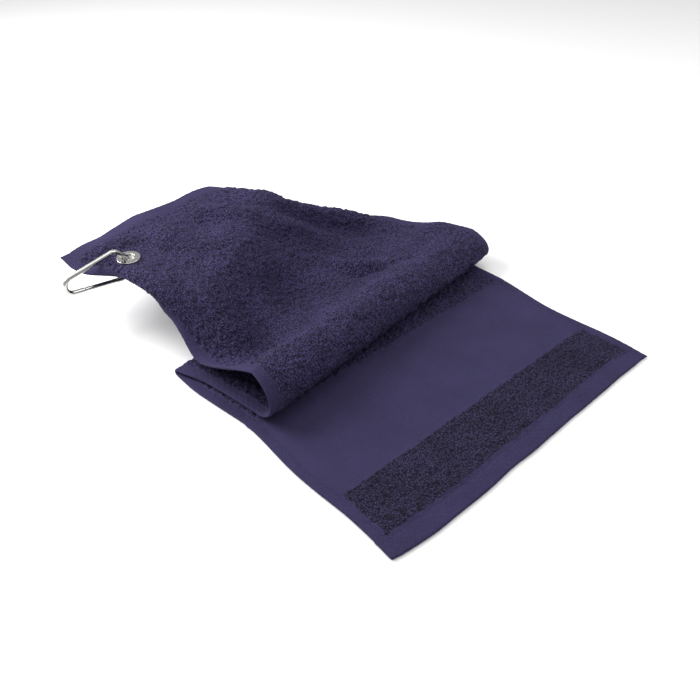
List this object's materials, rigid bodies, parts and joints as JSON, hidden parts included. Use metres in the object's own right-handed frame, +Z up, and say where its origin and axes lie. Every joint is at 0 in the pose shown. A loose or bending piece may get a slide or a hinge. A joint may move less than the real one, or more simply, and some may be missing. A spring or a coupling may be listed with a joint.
{
  "type": "golf towel",
  "caption": "Folded cotton terry golf towel with a flat woven panel, stitched hems, a metal eyelet and a wire snap clip with a sprung gate.",
  "frame": {"origin": "middle of the flat underside of the lowest layer", "axes": "+X across the towel from the edge with the eyelet to the other long edge, +Y along it away from the printed end, +Z up"},
  "size_m": [0.3574, 0.423, 0.07],
  "materials": {
    "terry": "looped pile",
    "hem": "plain weave",
    "woven": "plain weave",
    "thread": "matte",
    "nickel": "polished",
    "steel": "plain"
  },
  "bodies": {
    "towel": {"lower_end_hem": "hem", "terry_band": "terry", "print_panel": "woven", "terry_lower": "terry", "near_hem_lower": "hem", "far_hem_lower": "hem", "terry_open_fold": "terry", "near_hem_open_fold": "hem", "far_hem_open_fold": "hem", "terry_raised": "terry", "near_hem_raised": "hem", "far_hem_raised": "hem", "upper_end_hem": "hem", "near_hem_thread": "thread", "far_hem_thread": "thread", "lower_end_thread": "thread", "upper_end_thread": "thread", "eyelet_front": "nickel", "eyelet_washer": "nickel"},
    "clip": {"clip_body": "nickel", "gate_pin": "steel"},
    "gate": {"clip_gate": "nickel", "gate_plunger": "steel", "gate_spring": "steel"}
  },
  "joints": [
    {"name": "clip_turn", "type": "hinge", "parent": "towel", "child": "clip", "pos_m": [-0.1321, 0.22629, 0.05425], "axis": [0, 0, 1], "range_deg": [-20, 20]},
    {"name": "gate_open", "type": "hinge", "parent": "clip", "child": "gate", "pos_m": [-0.17471, 0.22406, 0.04436], "axis": [0.0523, -0.9986, 0], "range_deg": [0, 22], "stiffness_Nm_per_rad": 0.03, "springref_deg": -34.38}
  ]
}
